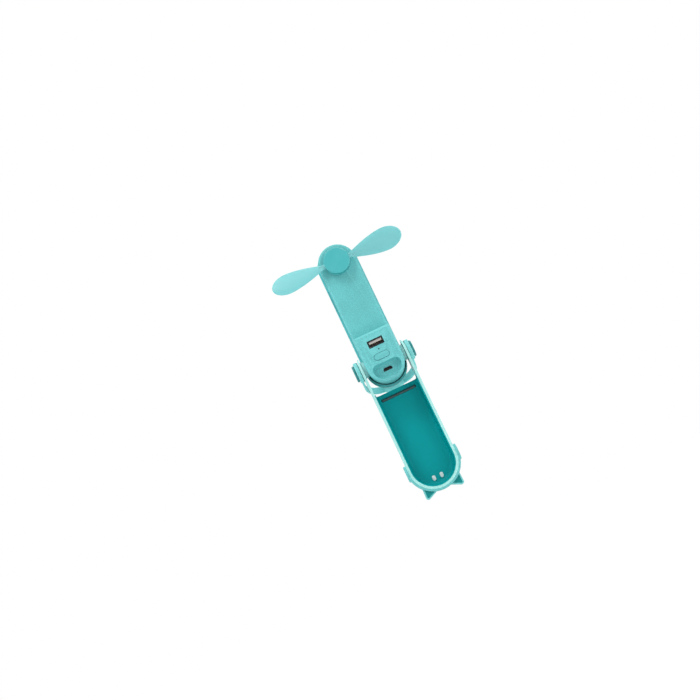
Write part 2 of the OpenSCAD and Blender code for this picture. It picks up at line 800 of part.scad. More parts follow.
// leaf: t runs 0 to 1 from root to tip; half chord, pitch and camber follow it
blade_r0 = blade_pin_off + root_r - 1;
rings = 22;
cells = 6;
function half_chord(t) = max(0.9, chord / 2 * pow(sin(min(1, 0.1 + 1.2 * t) * 90), 1.1)
    * (t > 0.7 ? sqrt(max(0, 1 - pow((t - 0.7) / 0.3, 2))) : 1));
function pitch(t) = pitch_root + (pitch_tip - pitch_root) * t;
function leaf_point(t, u, side) =
    let (c = half_chord(t), w = u * c, h = 0.09 * c * (1 - u * u) + side * blade_t / 2
        * (1 - 0.55 * u * u))
    [blade_r0 + (tip_r - blade_r0) * t, blade_y - w * sin(pitch(t)) - h * cos(pitch(t)),
        w * cos(pitch(t)) - h * sin(pitch(t))];
leaf_row = 2 * (cells + 1);
leaf_points = [for (i = [0:rings]) each concat(
    [for (j = [0:cells]) leaf_point(i / rings, -1 + 2 * j / cells, 1)],
    [for (j = [cells:-1:0]) leaf_point(i / rings, -1 + 2 * j / cells, -1)])];
leaf_faces = concat(
    [[for (j = [leaf_row - 1:-1:0]) j]],
    [[for (j = [0:leaf_row - 1]) rings * leaf_row + j]],
    [for (i = [0:rings - 1], j = [0:leaf_row - 1], k = [0, 1])
        let (a = i * leaf_row + j, b = i * leaf_row + (j + 1) % leaf_row)
        k == 0 ? [a, b, a + leaf_row] : [b, b + leaf_row, a + leaf_row]]);

module blade() {
    difference() {
        union() {
            polyhedron(leaf_points, leaf_faces);
            translate([blade_pin_off, 0, 0]) rod_y(root_r, root_y - root_t, root_y);
            box(blade_pin_off, blade_r0 + 5, blade_y - 0.9, blade_y + 0.9, -1.7, 1.7);
        }
        translate([blade_pin_off, 0, 0]) rod_y(blade_pin_r + 0.05, -half_d, 0);
    }
}

module blade_a() { color([0.4, 0.78, 0.8]) translate([0, 0, axis_z]) blade(); }
module blade_b() { color([0.4, 0.78, 0.8]) translate([0, 0, axis_z]) rotate([0, 180, 0]) blade(); }

handle_shell();
handle_liner();
ear_band();
ear_inserts();
bumper_pads();
stop_bar();
pivot_pin_l();
pivot_pin_r();
pivot_cap_l();
pivot_cap_r();
strap_loop();
strap_bead();
front_cover();
rear_housing();
badge();
battery_cell();
motor_can();
motor_endcap();
motor_magnets();
motor_bushings();
circuit_board();
charge_board();
board_header();
usb_a_shell();
usb_a_tongue();
micro_usb_shell();
micro_usb_tongue();
tact_switch();
status_led();
light_pipe();
pivot_washer_l();
pivot_washer_r();
power_button();
motor_shaft();
armature();
hub_base();
hub_cap();
blade_pins();
blade_a();
blade_b();
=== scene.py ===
import json
import math

import bmesh
import bpy
from mathutils import Matrix, Vector


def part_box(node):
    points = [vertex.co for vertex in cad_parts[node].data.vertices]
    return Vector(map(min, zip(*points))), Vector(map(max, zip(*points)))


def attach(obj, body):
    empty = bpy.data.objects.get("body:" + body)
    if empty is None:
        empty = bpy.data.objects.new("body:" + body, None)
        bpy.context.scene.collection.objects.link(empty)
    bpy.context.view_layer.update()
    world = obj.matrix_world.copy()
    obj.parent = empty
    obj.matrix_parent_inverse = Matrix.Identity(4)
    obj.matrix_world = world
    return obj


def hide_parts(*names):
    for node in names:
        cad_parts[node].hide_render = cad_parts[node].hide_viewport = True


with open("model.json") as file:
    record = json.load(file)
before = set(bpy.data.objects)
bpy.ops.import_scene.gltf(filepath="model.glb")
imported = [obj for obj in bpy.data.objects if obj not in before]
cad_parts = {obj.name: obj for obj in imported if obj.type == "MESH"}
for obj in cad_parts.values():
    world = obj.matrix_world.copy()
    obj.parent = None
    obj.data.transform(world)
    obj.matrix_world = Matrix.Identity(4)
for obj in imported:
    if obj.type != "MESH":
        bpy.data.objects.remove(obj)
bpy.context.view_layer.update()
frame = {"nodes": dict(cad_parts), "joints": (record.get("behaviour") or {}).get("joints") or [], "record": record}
NODES = frame["nodes"]
MM = 0.001

# Places that the pieces are built from, read from the frame.
PIVOT_Z = frame["joints"][0]["pos_m"][2]
AXIS_Z = next(j for j in frame["joints"] if j["name"] == "rotor_spin")["pos_m"][2]


# ---------------------------------------------------------------- camera and light

def look_axes(azimuth, elevation, roll):
    a, e, r = (math.radians(v) for v in (azimuth, elevation, roll))
    back = Vector((math.sin(a) * math.cos(e), -math.cos(a) * math.cos(e), math.sin(e)))
    right = Vector((math.cos(a), math.sin(a), 0))
    up = back.cross(right)
    return (right * math.cos(r) - up * math.sin(r),
            right * math.sin(r) + up * math.cos(r), back)


def make_camera():
    right, up, back = look_axes(-0.8, -9.907, 25.215)
    data = bpy.data.cameras.new("camera")
    data.lens = 55.17
    data.sensor_width = 36
    data.clip_start, data.clip_end = 0.01, 50
    cam = bpy.data.objects.new("camera", data)
    spot = Vector((0, 0, 0.060)) + back * 0.900 + right * -0.032766 + up * 0.018389
    turn = Matrix((right, up, back)).transposed().to_4x4()
    cam.matrix_world = Matrix.Translation(spot) @ turn
    bpy.context.collection.objects.link(cam)
    bpy.context.scene.camera = cam


def area_light(name, place, target, size, power, color=(1, 1, 1)):
    data = bpy.data.lights.new(name, "AREA")
    data.shape = "DISK"
    data.size = size
    data.energy = power
    data.color = color
    lamp = bpy.data.objects.new(name, data)
    lamp.location = place
    aim = Vector(target) - Vector(place)
    lamp.rotation_mode = "QUATERNION"
    lamp.rotation_quaternion = aim.to_track_quat("-Z", "Y")
    bpy.context.collection.objects.link(lamp)


def make_world():
    world = bpy.data.worlds.new("studio")
    bpy.context.scene.world = world
    world.use_nodes = True
    nt = world.node_tree
    nt.nodes.clear()
    out = nt.nodes.new("ShaderNodeOutputWorld")
    seen = nt.nodes.new("ShaderNodeBackground")
    lit = nt.nodes.new("ShaderNodeBackground")
    seen.inputs["Color"].default_value = (1, 1, 1, 1)
    seen.inputs["Strength"].default_value = 1.0
    coord = nt.nodes.new("ShaderNodeTexCoord")
    split = nt.nodes.new("ShaderNodeSeparateXYZ")
    ramp = nt.nodes.new("ShaderNodeValToRGB")
    ramp.color_ramp.elements[0].position = 0.2
    ramp.color_ramp.elements[0].color = (0.34, 0.37, 0.39, 1)
    ramp.color_ramp.elements[1].position = 0.85
    ramp.color_ramp.elements[1].color = (1.0, 1.0, 1.0, 1)
    half = nt.nodes.new("ShaderNodeMapRange")
    half.inputs["From Min"].default_value = -1
    path = nt.nodes.new("ShaderNodeLightPath")
    mix = nt.nodes.new("ShaderNodeMixShader")
    nt.links.new(coord.outputs["Generated"], split.inputs[0])
    nt.links.new(split.outputs["Z"], half.inputs["Value"])
    nt.links.new(half.outputs["Result"], ramp.inputs["Fac"])
    nt.links.new(ramp.outputs["Color"], lit.inputs["Color"])
    lit.inputs["Strength"].default_value = 0.66
    nt.links.new(path.outputs["Is Camera Ray"], mix.inputs["Fac"])
    nt.links.new(lit.outputs[0], mix.inputs[1])
    nt.links.new(seen.outputs[0], mix.inputs[2])
    nt.links.new(mix.outputs[0], out.inputs["Surface"])


def make_floor():
    bpy.ops.mesh.primitive_plane_add(size=14, location=(0, 0, -0.34))
    floor = bpy.context.object
    floor.name = "floor"
    mat = bpy.data.materials.new("floor_paint")
    mat.use_nodes = True
    b = mat.node_tree.nodes["Principled BSDF"]
    b.inputs["Base Color"].default_value = (0.8, 0.8, 0.8, 1)
    b.inputs["Roughness"].default_value = 0.9
    b.inputs["Specular IOR Level"].default_value = 0.1
    b.inputs["Emission Color"].default_value = (1, 1, 1, 1)
    path = mat.node_tree.nodes.new("ShaderNodeLightPath")
    glow = mat.node_tree.nodes.new("ShaderNodeMath")
    glow.operation = "MULTIPLY"
    glow.inputs[1].default_value = 0.75
    mat.node_tree.links.new(path.outputs["Is Camera Ray"], glow.inputs[0])
    mat.node_tree.links.new(glow.outputs[0], b.inputs["Emission Strength"])
    floor.data.materials.append(mat)


# ---------------------------------------------------------------- materials

def plastic(name, color, rough, coat=0.0, grain=2200, bump=0.1, mottle=0.03,
            rough_swing=0.05, sheen=0.0, subsurface=0.0, edge=0.0, spec=0.5):
    """Moulded plastic: fine grain bump, slow colour drift, roughness patches, and a painted highlight that
    lightens convex edges.
    """
    mat = bpy.data.materials.new(name)
    mat.use_nodes = True
    nt = mat.node_tree
    b = nt.nodes["Principled BSDF"]
    new, link = nt.nodes.new, nt.links.new
    coord = new("ShaderNodeTexCoord")
    fine = new("ShaderNodeTexNoise")
    fine.inputs["Scale"].default_value = grain
    fine.inputs["Detail"].default_value = 3
    link(coord.outputs["Object"], fine.inputs["Vector"])
    slow = new("ShaderNodeTexNoise")
    slow.inputs["Scale"].default_value = 55
    slow.inputs["Detail"].default_value = 2
    link(coord.outputs["Object"], slow.inputs["Vector"])
    soft = new("ShaderNodeMath")
    soft.operation = "MULTIPLY"
    link(slow.outputs["Fac"], soft.inputs[0])
    soft.inputs[1].default_value = 0.25
    blend = new("ShaderNodeMath")
    blend.operation = "MULTIPLY_ADD"
    link(fine.outputs["Fac"], blend.inputs[0])
    blend.inputs[1].default_value = 0.8
    link(soft.outputs[0], blend.inputs[2])
    tone = new("ShaderNodeValToRGB")
    lo = [c * (1 - mottle) for c in color]
    hi = [min(1, c * (1 + mottle)) for c in color]
    tone.color_ramp.elements[0].position = 0.36
    tone.color_ramp.elements[0].color = (*lo, 1)
    tone.color_ramp.elements[1].position = 0.70
    tone.color_ramp.elements[1].color = (*hi, 1)
    link(blend.outputs[0], tone.inputs["Fac"])
    base = tone.outputs["Color"]
    # Painted highlight: convex edges (high pointiness) are mixed toward a paler copy of the colour, by the amount
    # edge.
    if edge:
        geo = new("ShaderNodeNewGeometry")
        edge_highlight_mask = new("ShaderNodeMapRange")
        edge_highlight_mask.inputs["From Min"].default_value = 0.52
        edge_highlight_mask.inputs["From Max"].default_value = 0.62
        edge_highlight_mask.inputs["To Max"].default_value = edge
        link(geo.outputs["Pointiness"], edge_highlight_mask.inputs["Value"])
        mix = new("ShaderNodeMix")
        mix.data_type = "RGBA"
        link(edge_highlight_mask.outputs["Result"], mix.inputs["Factor"])
        link(base, mix.inputs["A"])
        mix.inputs["B"].default_value = (*[min(1, c * 1.25 + 0.06) for c in color], 1)
        base = mix.outputs["Result"]
    link(base, b.inputs["Base Color"])
    patch = new("ShaderNodeMapRange")
    patch.inputs["From Min"].default_value = 0.3
    patch.inputs["From Max"].default_value = 0.7
    patch.inputs["To Min"].default_value = max(0.03, rough - rough_swing)
    patch.inputs["To Max"].default_value = rough + rough_swing
    link(slow.outputs["Fac"], patch.inputs["Value"])
    link(patch.outputs["Result"], b.inputs["Roughness"])
    relief = new("ShaderNodeBump")
    relief.inputs["Strength"].default_value = bump
    relief.inputs["Distance"].default_value = 0.00012
    link(fine.outputs["Fac"], relief.inputs["Height"])
    link(relief.outputs["Normal"], b.inputs["Normal"])
    b.inputs["IOR"].default_value = 1.5
    b.inputs["Specular IOR Level"].default_value = spec
    b.inputs["Coat Weight"].default_value = coat
    b.inputs["Coat Roughness"].default_value = 0.06
    b.inputs["Sheen Weight"].default_value = sheen
    b.inputs["Subsurface Weight"].default_value = subsurface
    b.inputs["Subsurface Radius"].default_value = (0.6, 1.0, 1.0)
    b.inputs["Subsurface Scale"].default_value = 0.0015
    return mat


def metal(name, color, rough, brushed=True, scale=(300, 300, 6000)):
    mat = bpy.data.materials.new(name)
    mat.use_nodes = True
    nt = mat.node_tree
    b = nt.nodes["Principled BSDF"]
    new, link = nt.nodes.new, nt.links.new
    coord = new("ShaderNodeTexCoord")
    stretch = new("ShaderNodeMapping")
    stretch.inputs["Scale"].default_value = scale if brushed else (900, 900, 900)
    noise = new("ShaderNodeTexNoise")
    noise.inputs["Scale"].default_value = 1.0
    noise.inputs["Detail"].default_value = 4
    link(coord.outputs["Object"], stretch.inputs["Vector"])
    link(stretch.outputs["Vector"], noise.inputs["Vector"])
    span = new("ShaderNodeMapRange")
    span.inputs["To Min"].default_value = max(0.05, rough - 0.1)
    span.inputs["To Max"].default_value = rough + 0.12
    link(noise.outputs["Fac"], span.inputs["Value"])
    link(span.outputs["Result"], b.inputs["Roughness"])
    tone = new("ShaderNodeValToRGB")
    tone.color_ramp.elements[0].color = (*[c * 0.86 for c in color], 1)
    tone.color_ramp.elements[1].color = (*[min(1, c * 1.08) for c in color], 1)
    link(noise.outputs["Fac"], tone.inputs["Fac"])
    link(tone.outputs["Color"], b.inputs["Base Color"])
    relief = new("ShaderNodeBump")
    relief.inputs["Strength"].default_value = 0.12
    relief.inputs["Distance"].default_value = 0.00005
    link(noise.outputs["Fac"], relief.inputs["Height"])
    link(relief.outputs["Normal"], b.inputs["Normal"])
    b.inputs["Metallic"].default_value = 1.0
    return mat


# edge= sets the strength of the painted highlight on convex edges.
M = {
    "shell_mint": plastic("shell_mint", (0.42, 0.86, 0.82), 0.34, coat=0.25, grain=1600,
                          bump=0.05, edge=0.5),
    "liner_teal": plastic("liner_teal", (0.0, 0.39, 0.41), 0.5, grain=2600, bump=0.10,
                          mottle=0.05, spec=0.12),
    "band_mint": plastic("band_mint", (0.16, 0.58, 0.58), 0.46, grain=2400, bump=0.14,
                         edge=0.6, spec=0.35),
    "ear_teal": plastic("ear_teal", (0.006, 0.27, 0.27), 0.5, grain=2400, bump=0.14,
                        spec=0.2),
    "white_plastic": plastic("white_plastic", (0.95, 0.96, 0.95), 0.3, coat=0.3, grain=1500,
                             bump=0.04),
    "bar_teal": plastic("bar_teal", (0.015, 0.07, 0.075), 0.25, coat=0.5, grain=1800,
                        bump=0.08),
    "cap_mint": plastic("cap_mint", (0.02, 0.27, 0.28), 0.32, grain=2000, bump=0.1,
                        edge=0.5, spec=0.4),
    "strap_silicone": plastic("strap_silicone", (0.22, 0.68, 0.68), 0.5, grain=1900,
                              bump=0.12, sheen=0.1, subsurface=0.1, edge=0.3, spec=0.4),
    "cover_teal": plastic("cover_teal", (0.12, 0.56, 0.58), 0.2, coat=0.7, grain=500,
                          bump=0.03, mottle=0.02, rough_swing=0.03, edge=0.3, spec=0.4),
    "housing_mint": plastic("housing_mint", (0.15, 0.58, 0.59), 0.5, grain=1300, bump=0.5,
                            mottle=0.20, edge=0.3, spec=0.35),
    "button_mint": plastic("button_mint", (0.15, 0.58, 0.59), 0.46, grain=1500, bump=0.35,
                           mottle=0.14, edge=0.2, spec=0.35),
    "hub_teal": plastic("hub_teal", (0.07, 0.50, 0.52), 0.36, coat=0.2, grain=1800, bump=0.06,
                        edge=0.3, spec=0.4),
    "blade_tpe": plastic("blade_tpe", (0.22, 0.64, 0.66), 0.45, grain=1400, bump=0.08,
                         sheen=0.1, subsurface=0.2, edge=0.3, spec=0.4),
    "washer_pale": plastic("washer_pale", (0.40, 0.80, 0.79), 0.4, grain=2000, bump=0.08),
    # Near-black teal for the rings that stand in for shade in narrow gaps (painted shade).
    "painted_gap_shade": plastic("painted_gap_shade", (0.004, 0.06, 0.065), 0.5, grain=2500, bump=0.12,
                         spec=0.2),
    "tongue_grey": plastic("tongue_grey", (0.55, 0.53, 0.50), 0.4, grain=1800, bump=0.1,
                           mottle=0.08),
    "black_plastic": plastic("black_plastic", (0.012, 0.012, 0.014), 0.45, grain=2500,
                             bump=0.12),
    "board_green": plastic("board_green", (0.015, 0.16, 0.06), 0.3, coat=0.4, grain=900,
                           bump=0.1, mottle=0.2),
    "led_lens": plastic("led_lens", (0.004, 0.06, 0.065), 0.2, coat=0.6, grain=900, bump=0.03),
    "pin_steel": metal("pin_steel", (0.62, 0.63, 0.64), 0.3),
    "port_steel": metal("port_steel", (0.66, 0.66, 0.65), 0.28, scale=(4000, 600, 600)),
    "motor_steel": metal("motor_steel", (0.55, 0.56, 0.57), 0.35),
    # Dark metal for the USB shells: painted shade standing in for the dark port mouths, over shells that are
    # steel.
    "port_shade_metal": metal("port_shade_metal", (0.10, 0.10, 0.11), 0.35, scale=(4000, 600, 600)),
    "magnet": metal("magnet", (0.09, 0.09, 0.1), 0.5, brushed=False),
    "core_iron": metal("core_iron", (0.45, 0.25, 0.13), 0.4),
    "bronze": metal("bronze", (0.72, 0.5, 0.26), 0.35, brushed=False),
    "cell_foil": metal("cell_foil", (0.62, 0.64, 0.67), 0.4, brushed=False),
    "contact_gold": metal("contact_gold", (0.85, 0.6, 0.22), 0.22, brushed=False),
}
# Nodes shown in a colour of their own within their slot; the port shells' dark metal is painted shade for the dark
# port mouths.
SPECIAL = {"usb_a_tongue": "tongue_grey", "micro_usb_shell": "port_shade_metal",
           "usb_a_shell": "port_shade_metal", "pivot_washer_l": "washer_pale",
           "pivot_washer_r": "washer_pale"}
SLOT_OF = {s["node"]: s["material_slot"] for s in frame["record"]["subparts"]}


def turned(mat, amount):
    """Concentric turning marks: stretched highlights that run round the motor axis."""
    nt = mat.node_tree
    b = nt.nodes["Principled BSDF"]
    b.inputs["Anisotropic"].default_value = amount
    tangent = nt.nodes.new("ShaderNodeTangent")
    tangent.direction_type = "RADIAL"
    tangent.axis = "Y"
    nt.links.new(tangent.outputs["Tangent"], b.inputs["Tangent"])


def paint(obj, mat):
    obj.data.materials.clear()
    obj.data.materials.append(mat)


def dress_nodes():
    for node, obj in NODES.items():
        paint(obj, M[SPECIAL.get(node, SLOT_OF[node])])


# ---------------------------------------------------------------- mesh helpers

def add_object(name, bm, body, slot, replaces=(), mat=None, smooth=True):
    mesh = bpy.data.meshes.new(name)
    bmesh.ops.recalc_face_normals(bm, faces=bm.faces)
    bm.to_mesh(mesh)
    bm.free()
    for p in mesh.polygons:
        p.use_smooth = smooth
    obj = bpy.data.objects.new(name, mesh)
    bpy.context.collection.objects.link(obj)
    mesh.materials.append(M[mat or slot])
    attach(obj, body)
    if replaces:
        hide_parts(*replaces)
    return obj


def sharpen(obj, angle=35):
    """Keeps creases over the angle sharp while the rest shades smooth."""
    mesh = obj.data
    bm = bmesh.new()
    bm.from_mesh(mesh)
    limit = math.radians(angle)
    for e in bm.edges:
        e.smooth = not (len(e.link_faces) == 2 and e.calc_face_angle(0) > limit)
    bm.to_mesh(mesh)
    bm.free()


def soften(node, width, body, segments=3, angle=32):
    """A copy of a CAD piece with its hard edges rounded over, as moulded plastic has them."""
    src = NODES[node]
    bm = bmesh.new()
    bm.from_mesh(src.data)
    bmesh.ops.remove_doubles(bm, verts=bm.verts, dist=2e-6)
    bmesh.ops.dissolve_limit(bm, angle_limit=math.radians(0.6), verts=bm.verts,
                             edges=bm.edges)
    slot = SLOT_OF[node]
    obj = add_object("soft_" + node, bm, body, slot, replaces=[node],
                     mat=SPECIAL.get(node, slot))
    for p in obj.data.polygons:
        p.use_smooth = max(abs(c) for c in p.normal) < 0.99999
    mod = obj.modifiers.new("round", "BEVEL")
    mod.width = width
    mod.segments = segments
    mod.limit_method = "ANGLE"
    mod.angle_limit = math.radians(angle)
    mod.use_clamp_overlap = True
    mod.harden_normals = False
    mod.miter_outer = "MITER_ARC"
    even = obj.modifiers.new("even", "WEIGHTED_NORMAL")
    even.keep_sharp = True
    even.weight = 80
    return obj


def ring_faces(bm, rows, close=True):
    """Joins rows of points into a skin; each row is closed on itself."""
    grid = [[bm.verts.new(p) for p in row] for row in rows]
    n = len(grid[0])
    for a, b in zip(grid, grid[1:]):
        for i in range(n if close else n - 1):
            j = (i + 1) % n
            bm.faces.new((a[i], a[j], b[j], b[i]))
    return grid


def cap_ends(bm, grid):
    bm.faces.new(grid[0])
    bm.faces.new(list(reversed(grid[-1])))


def revolve(bm, profile, centre, axis="X", steps=64):
    """Turns (along, radius) points round an axis through centre, with closed ends."""
    rows = []
    for along, radius in profile:
        row = []
        for i in range(steps):
            a = 2 * math.pi * i / steps
            u, v = radius * math.cos(a), radius * math.sin(a)
            p = (along, u, v) if axis == "X" else (v, along, u)
            row.append(Vector(centre) + Vector(p))
        rows.append(row)
    grid = ring_faces(bm, rows)
    cap_ends(bm, grid)


def arc(cx, cy, r, a0, a1, n):
    return [(cx + r * math.cos(math.radians(a0 + (a1 - a0) * i / n)),
             cy + r * math.sin(math.radians(a0 + (a1 - a0) * i / n))) for i in range(n + 1)]


def rounded_section(half_t, half_w, power=5.0, steps=28):
    pts = []
    for i in range(steps):
        a = 2 * math.pi * i / steps
        c, s = math.cos(a), math.sin(a)
        pts.append((half_t * math.copysign(abs(c) ** (2 / power), c),
                    half_w * math.copysign(abs(s) ** (2 / power), s)))
    return pts


# ---------------------------------------------------------------- blades

TIP_R = 60 * MM
PIN_OFF = 7 * MM
ROOT_R = 4 * MM
LEAF_START = PIN_OFF + ROOT_R - 1 * MM
CHORD = 20 * MM
LEAF_T = 1.1 * MM
blade_low, blade_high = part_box("blade_a")
hub_low, hub_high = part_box("hub_base")
HUB_BACK = hub_high[1]
ROOT_BACK = HUB_BACK - 1.6 * MM - 0.1 * MM
ROOT_FRONT = ROOT_BACK - 4 * MM
LEAF_Y = (ROOT_BACK + ROOT_FRONT) / 2


def half_chord(t):
    w = CHORD / 2 * math.sin(min(1, 0.1 + 1.2 * t) * math.pi / 2) ** 1.1
    if t > 0.7:
        w *= math.sqrt(max(0, 1 - ((t - 0.7) / 0.3) ** 2))
    return max(0.25 * MM, w)


def leaf_point(t, u, side):
    """A point of the leaf: t from root to tip, u across the chord, side up or down."""
    c = half_chord(t)
    w = u * c
    pitch = math.radians(23 - 6 * t)
    rim = max(0.0, 1 - abs(u) ** 6)
    rib = 0.22 * MM * math.exp(-(u / 0.10) ** 2) * max(0.0, 1 - t / 0.85)
    thick = side * (LEAF_T / 2 * (1 - 0.55 * u * u) * (0.35 + 0.65 * rim) + rib)
    h = 0.09 * c * (1 - u * u) + thick
    return Vector((LEAF_START + (TIP_R - LEAF_START) * t,
                   LEAF_Y - w * math.sin(pitch) - h * math.cos(pitch),
                   w * math.cos(pitch) - h * math.sin(pitch)))


def make_blade(name, node, flip):
    bm = bmesh.new()
    rings, cells = 72, 22
    rows = []
    for i in range(rings + 1):
        s = i / rings
        t = 1 - (1 - s) ** 1.6 if s > 0.5 else s * (1 - 0.5 ** 1.6) / 0.5
        top = [leaf_point(t, math.sin((-1 + 2 * j / cells) * math.pi / 2), 1)
               for j in range(cells + 1)]
        low = [leaf_point(t, math.sin((-1 + 2 * j / cells) * math.pi / 2), -1)
               for j in range(cells, -1, -1)]
        rows.append(top + low)
    grid = ring_faces(bm, rows)
    cap_ends(bm, grid)
    # root ring with its bore, its rims rounded
    e = 0.5 * MM
    outer = (arc(ROOT_FRONT + e, ROOT_R - e, e, 180, 90, 5)
             + arc(ROOT_BACK - e, ROOT_R - e, e, 90, 0, 5))
    bore = 1.55 * MM
    profile = ([(y, r) for y, r in outer]
               + [(ROOT_BACK, bore + 0.2 * MM), (ROOT_BACK - 0.2 * MM, bore),
                  (ROOT_FRONT + 0.2 * MM, bore), (ROOT_FRONT, bore + 0.2 * MM)])
    steps = 56
    rows = []
    for i in range(steps):
        a = 2 * math.pi * i / steps
        rows.append([Vector((PIN_OFF + r * math.sin(a), y, r * math.cos(a)))
                     for y, r in profile])
    ring_faces(bm, rows + [rows[0]])
    bmesh.ops.remove_doubles(bm, verts=bm.verts, dist=1e-6)
    # neck between the ring and the leaf, a swept soft bar with two thin hinge grooves
    rows = []
    for i in range(25):
        s = i / 24
        x = PIN_OFF + 3.2 * MM + s * 6.4 * MM
        groove = 0.28 * MM * (math.exp(-((s - 0.42) / 0.06) ** 2)
                              + math.exp(-((s - 0.66) / 0.06) ** 2))
        half_y = 1.0 * MM - 0.35 * MM * s - groove
        half_z = 1.9 * MM + 0.5 * MM * s
        rows.append([Vector((x, LEAF_Y + a, b)) for a, b in rounded_section(half_y, half_z, 4)])
    grid = ring_faces(bm, rows)
    cap_ends(bm, grid)
    turn = Matrix.Rotation(math.pi, 4, "Y") if flip else Matrix.Identity(4)
    bm.transform(Matrix.Translation((0, 0, AXIS_Z)) @ turn)
    obj = add_object(name, bm, node, "blade_tpe", replaces=[node])
    sharpen(obj, 50)


# ---------------------------------------------------------------- strap

STRAP_REACH = 38.7 * MM
STRAP_CORNER = 16.4 * MM
LEG_X = 23.4 * MM
STRAP_TURN = Matrix.Translation((0, 0, PIVOT_Z)) @ Matrix.Rotation(math.radians(64), 4, "X")


def strap_path():
    """Middle line of the loop in its own plane, from one eyelet round to the other."""
    leg_end = STRAP_REACH - STRAP_CORNER
    pts = []
    for i in range(10):
        pts.append((LEG_X, -(3 * MM + (leg_end - 3 * MM) * i / 9)))
    for i in range(1, 25):
        a = math.pi / 2 * i / 24
        pts.append((LEG_X - STRAP_CORNER + STRAP_CORNER * math.cos(a),
                    -leg_end - STRAP_CORNER * math.sin(a)))
    x0 = LEG_X - STRAP_CORNER
    for i in range(1, 6):
        pts.append((x0 - 2 * x0 * i / 6, -STRAP_REACH))
    return pts + [(-x, z) for x, z in reversed(pts[:34])]


def make_strap():
    bm = bmesh.new()
    path = strap_path()
    rows = []
    for i, (x, z) in enumerate(path):
        a = path[max(0, i - 1)]
        b = path[min(len(path) - 1, i + 1)]
        along = Vector((b[0] - a[0], 0, b[1] - a[1])).normalized()
        side = Vector((-along.z, 0, along.x))
        run = min(i, len(path) - 1 - i) / 33
        half_w = (4.25 - 0.95 * min(1, run * 1.1)) * MM
        half_t = (1.0 - 0.12 * math.sin(min(1, run) * math.pi)) * MM
        rows.append([Vector((x, 0, z)) + side * u + Vector((0, v, 0))
                     for u, v in rounded_section(half_t, half_w, 4.5)])
    grid = ring_faces(bm, rows)
    cap_ends(bm, grid)
    for s in (-1, 1):
        e = 0.7 * MM
        x0, x1 = 21.8 * MM, 25.2 * MM
        r = 9 * MM
        profile = ([(x0, 3.3 * MM), (x0, 7.0 * MM)] + arc(x0 + e, r - e, e, 180, 90, 6)
                   + arc(x1 - e, r - e, e, 90, 0, 6)
                   + [(x1, 8.0 * MM), (x1 - 0.25 * MM, 7.8 * MM), (x1 - 0.25 * MM, 7.5 * MM),
                      (x1, 7.3 * MM), (x1, 3.3 * MM)])
        revolve_rows = [[(s * x, radius) for x, radius in profile]]
        revolve(bm, revolve_rows[0], (0, 0, 0))
    bm.transform(STRAP_TURN)
    obj = add_object("strap_band", bm, "strap", "strap_silicone", replaces=["strap_loop"])
    sharpen(obj, 40)


def make_bead():
    bm = bmesh.new()
    half, r = 9.45 * MM, 5.3 * MM
    end_r = 3.0 * MM
    knots = [(-half, end_r - 0.5 * MM), (-half, end_r), (-4.4 * MM, r), (4.4 * MM, r),
             (half, end_r), (half, end_r - 0.5 * MM)]
    fine = [knots[0]]
    for a, b, c in zip(knots, knots[1:], knots[2:]):
        cut = 0.9 * MM
        va, vc = Vector(a) - Vector(b), Vector(c) - Vector(b)
        pa = Vector(b) + va.normalized() * min(cut, va.length * 0.45)
        pc = Vector(b) + vc.normalized() * min(cut, vc.length * 0.45)
        for i in range(7):
            t = i / 6
            p = pa * (1 - t) ** 2 + Vector(b) * 2 * t * (1 - t) + pc * t * t
            fine.append((p.x, p.y))
    fine.append(knots[-1])
    revolve(bm, fine, (0, 0, 0), steps=72)
    # soft flats round the barrel
    for v in bm.verts:
        a = math.atan2(v.co.z, v.co.y)
        rr = math.hypot(v.co.y, v.co.z)
        k = 1 - 0.035 * (0.5 - 0.5 * math.cos(6 * a)) * min(1, rr / r)
        v.co.y *= k
        v.co.z *= k
    bm.transform(STRAP_TURN @ Matrix.Translation((0, 0, -STRAP_REACH)))
    obj = add_object("strap_bead_body", bm, "strap", "strap_silicone",
                     replaces=["strap_bead"])
    sharpen(obj, 60)


# ---------------------------------------------------------------- small parts

def make_bumpers():
    low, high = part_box("bumper_pads")
    half_w, half_l = 1.55 * MM, 2.35 * MM
    for i, side in enumerate((-1, 1)):
        bm = bmesh.new()
        rows = []
        for y, cut in ((0, 0), (0.35, 0), (0.55, 0.08), (0.70, 0.26), (0.77, 0.55), (0.8, 0.9)):
            w, span = half_w - cut * MM, half_l - half_w
            row = []
            for k in range(48):
                a = 2 * math.pi * k / 48
                z = w * math.sin(a) + math.copysign(span, math.sin(a)) if k % 24 else 0.0
                if k in (0, 24):
                    z = 0.0
                row.append(Vector((w * math.cos(a), high[1] - y * MM, z)))
            rows.append(row)
        grid = ring_faces(bm, rows)
        cap_ends(bm, grid)
        bm.transform(Matrix.Translation((side * 3.5 * MM, 0, (low[2] + high[2]) / 2)))
        kwargs = {"replaces": ["bumper_pads"]} if i == 0 else {}
        obj = add_object("bumper_" + "ab"[i], bm, "handle", "white_plastic", **kwargs)
        sharpen(obj, 45)


def ring_of(bm, section, centre, steps=64):
    """A closed ring about X from a closed section of (x, radius) points."""
    rows = []
    for i in range(steps):
        a = 2 * math.pi * i / steps
        rows.append([Vector(centre) + Vector((x, r * math.sin(a), r * math.cos(a)))
                     for x, r in section])
    ring_faces(bm, rows + [rows[0]])
    bmesh.ops.remove_doubles(bm, verts=bm.verts, dist=1e-7)


